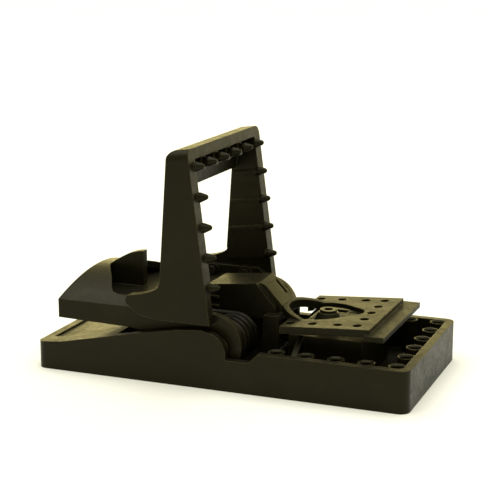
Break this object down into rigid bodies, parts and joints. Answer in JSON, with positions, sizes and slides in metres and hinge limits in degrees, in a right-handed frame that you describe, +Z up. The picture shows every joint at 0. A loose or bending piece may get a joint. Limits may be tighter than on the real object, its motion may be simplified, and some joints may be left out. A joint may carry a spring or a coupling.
{
  "type": "snap mouse trap",
  "caption": "Snap mouse trap, shown set: a toothed jaw frame and press lever on a sloping tray base, with a perforated trip paddle over the bait.",
  "frame": {"origin": "centre of the underside of the base, which is also the bottom centre of the whole object's box", "axes": "+X to the front end, where the jaw lands; +Z up; +Y to the left side as seen from the rear"},
  "size_m": [0.098, 0.0472, 0.0588],
  "materials": {
    "moulded_plastic": "fine satin moulding texture, near black with a warm tone",
    "plated_steel": "bright zinc plate",
    "spring_steel": "black oiled spring wire",
    "black_steel": "black oxide"
  },
  "bodies": {
    "base": {"base_tray": "moulded_plastic", "main_axle": "plated_steel", "trigger_pin": "plated_steel"},
    "striker": {"jaw_frame": "moulded_plastic", "press_lever": "moulded_plastic", "catch_sleeve": "moulded_plastic", "lever_screws": "black_steel", "near_spring": "spring_steel", "far_spring": "spring_steel"},
    "trigger": {"trip_paddle": "moulded_plastic", "paddle_spring": "spring_steel"},
    "bait_cup": {"bait_cup": "moulded_plastic"}
  },
  "joints": [
    {"name": "jaw_swing", "type": "hinge", "parent": "base", "child": "striker", "pos_m": [0.0007, 0, 0.0103], "axis": [0, 1, 0], "range_deg": [-2, 97.3], "deforming": ["near_spring", "far_spring"]},
    {"name": "paddle_tip", "type": "hinge", "parent": "base", "child": "trigger", "pos_m": [0.009, 0, 0.0044], "axis": [0, 1, 0], "range_deg": [0, 5], "stiffness_Nm_per_rad": 0.003, "springref_deg": -14.32, "deforming": ["paddle_spring"]},
    {"name": "bait_cup_drop", "type": "slide", "parent": "base", "child": "bait_cup", "axis": [0, 0, 1], "range_m": [-0.018, 0]}
  ]
}
